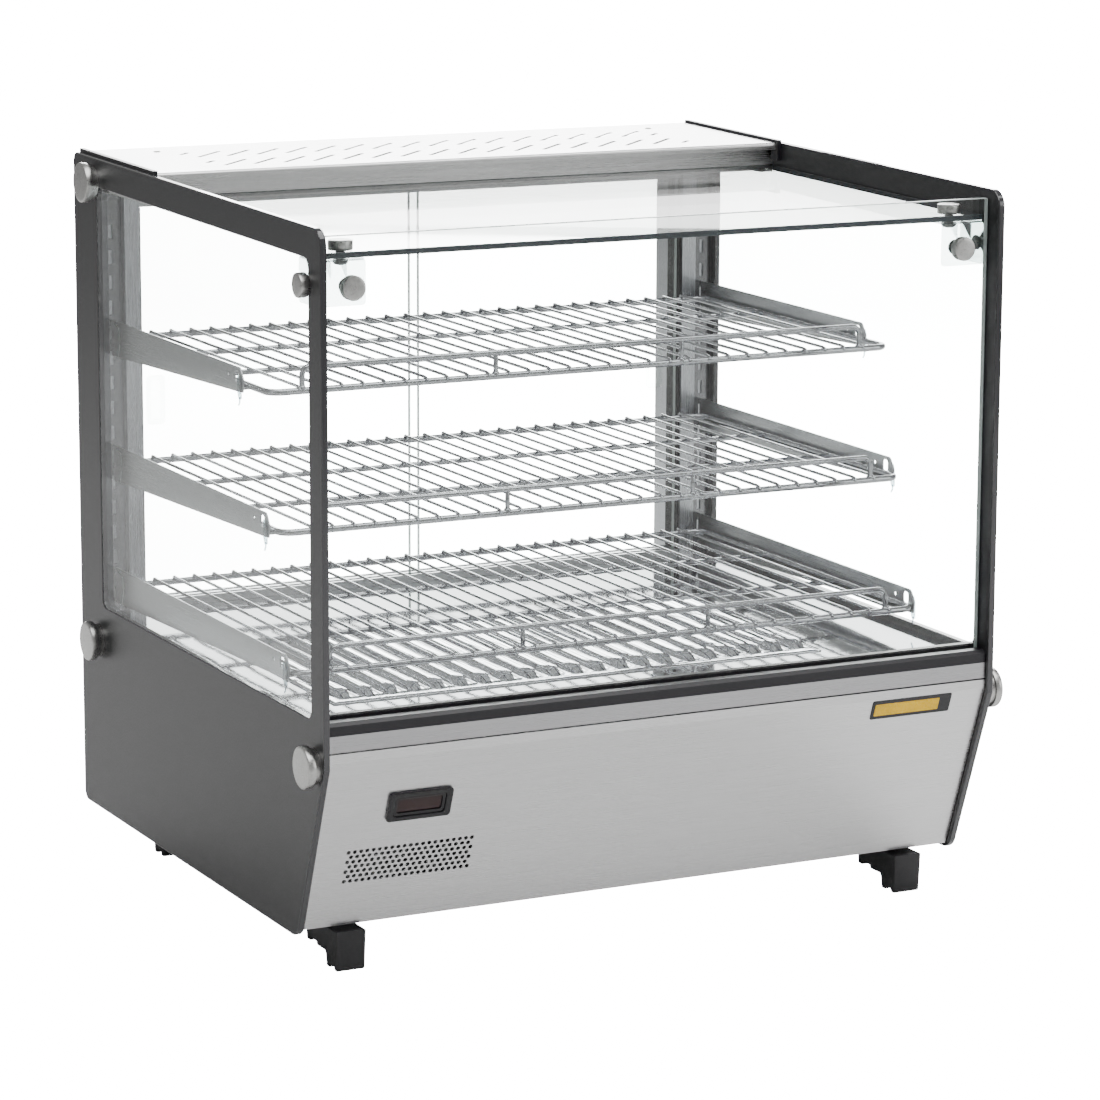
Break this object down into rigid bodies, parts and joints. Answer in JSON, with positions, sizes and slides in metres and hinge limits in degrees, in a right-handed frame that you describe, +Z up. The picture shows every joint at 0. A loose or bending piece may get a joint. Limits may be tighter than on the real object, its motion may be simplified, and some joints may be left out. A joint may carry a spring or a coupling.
{
  "type": "bakery display case",
  "caption": "Countertop heated display case with glass sides, front and top, wire shelves on brackets, sliding rear doors and a steel base.",
  "frame": {"origin": "on the counter, under the middle of the case", "axes": "+X right, +Y to the rear, +Z up; the glass front faces -Y"},
  "size_m": [0.682, 0.576, 0.6602],
  "materials": {
    "clear_glass": "clear polished",
    "black_border": "satin black printed border",
    "clear_plastic": "clear moulded",
    "satin_steel": "satin turned",
    "brushed_sheet": "fine horizontal brush",
    "bright_sheet": "bright polished",
    "satin_plate": "satin",
    "chrome_wire": "bright plated",
    "black_trim": "satin black",
    "black_plastic": "fine grain",
    "black_gloss_plastic": "gloss",
    "black_rubber": "matt",
    "track_aluminium": "satin anodised",
    "lamp_white": "white",
    "diffuser": "frosted",
    "display_window": "smoked gloss",
    "badge_amber": "plain",
    "white_plastic": "satin",
    "heater_steel": "heat darkened",
    "rocker_green": "translucent"
  },
  "bodies": {
    "case": {"side_glass_left": "clear_glass", "side_glass_right": "clear_glass", "front_glass": "clear_glass", "top_glass": "clear_glass", "side_border_left": "black_border", "side_border_right": "black_border", "corner_bracket_left": "clear_plastic", "corner_bracket_right": "clear_plastic", "bracket_clips": "clear_plastic", "corner_cap_bolts": "satin_steel", "side_cap_bolts": "satin_steel", "panel_screws": "satin_steel", "top_vent_panel": "brushed_sheet", "light_housing": "brushed_sheet", "rear_post_left": "brushed_sheet", "rear_post_right": "brushed_sheet", "shelf_standard_left": "bright_sheet", "shelf_standard_right": "bright_sheet", "deck": "bright_sheet", "louvre_plate": "bright_sheet", "front_fascia": "brushed_sheet", "front_panel": "brushed_sheet", "base_shell": "brushed_sheet", "rear_cover": "brushed_sheet", "front_trim": "black_trim", "vent_end_strips": "black_trim", "door_seals": "black_rubber", "door_track_top": "track_aluminium", "door_track_bottom": "track_aluminium", "light_tube": "lamp_white", "light_cover": "diffuser", "thermometer_bezel": "black_gloss_plastic", "thermometer_window": "display_window", "thermometer_module": "black_plastic", "badge_plate": "badge_amber", "feet": "black_plastic", "cable_gland": "black_plastic", "terminal_block": "white_plastic", "fan_frame": "black_plastic", "heater_element": "heater_steel", "thermostat_body": "white_plastic", "switch_bodies": "black_plastic", "shelf_bracket_top_left": "satin_plate", "shelf_bracket_top_right": "satin_plate", "shelf_bracket_middle_left": "satin_plate", "shelf_bracket_middle_right": "satin_plate", "shelf_bracket_bottom_left": "satin_plate", "shelf_bracket_bottom_right": "satin_plate"},
    "left_door": {"rear_door_left": "clear_glass", "door_pull_left": "clear_plastic"},
    "right_door": {"rear_door_right": "clear_glass", "door_pull_right": "clear_plastic"},
    "top_shelf": {"shelf_top_rack": "chrome_wire"},
    "middle_shelf": {"shelf_middle_rack": "chrome_wire"},
    "bottom_shelf": {"shelf_bottom_rack": "chrome_wire"},
    "fan": {"fan_rotor": "black_plastic"},
    "knob": {"thermostat_knob": "black_plastic"},
    "power_switch": {"power_rocker": "rocker_green"},
    "light_switch": {"light_rocker": "black_gloss_plastic"}
  },
  "joints": [
    {"name": "left_door_slide", "type": "slide", "parent": "case", "child": "left_door", "axis": [1, 0, 0], "range_m": [0, 0.23]},
    {"name": "right_door_slide", "type": "slide", "parent": "case", "child": "right_door", "axis": [-1, 0, 0], "range_m": [0, 0.23]},
    {"name": "top_shelf_lift", "type": "slide", "parent": "case", "child": "top_shelf", "axis": [0, 0, 1], "range_m": [0, 0.012]},
    {"name": "middle_shelf_lift", "type": "slide", "parent": "case", "child": "middle_shelf", "axis": [0, 0, 1], "range_m": [0, 0.012]},
    {"name": "bottom_shelf_lift", "type": "slide", "parent": "case", "child": "bottom_shelf", "axis": [0, 0, 1], "range_m": [0, 0.012]},
    {"name": "fan_spin", "type": "hinge", "parent": "case", "child": "fan", "pos_m": [-0.15, 0.2448, 0.136], "axis": [0, 1, 0], "continuous": true},
    {"name": "thermostat_turn", "type": "hinge", "parent": "case", "child": "knob", "pos_m": [0.09, 0.276, 0.136], "axis": [0, -1, 0], "range_deg": [0, 270]},
    {"name": "power_rock", "type": "hinge", "parent": "case", "child": "power_switch", "pos_m": [0.17, 0.2665, 0.136], "axis": [0, 0, 1], "range_deg": [0, 10]},
    {"name": "light_rock", "type": "hinge", "parent": "case", "child": "light_switch", "pos_m": [0.215, 0.2665, 0.136], "axis": [0, 0, 1], "range_deg": [0, 10]}
  ]
}
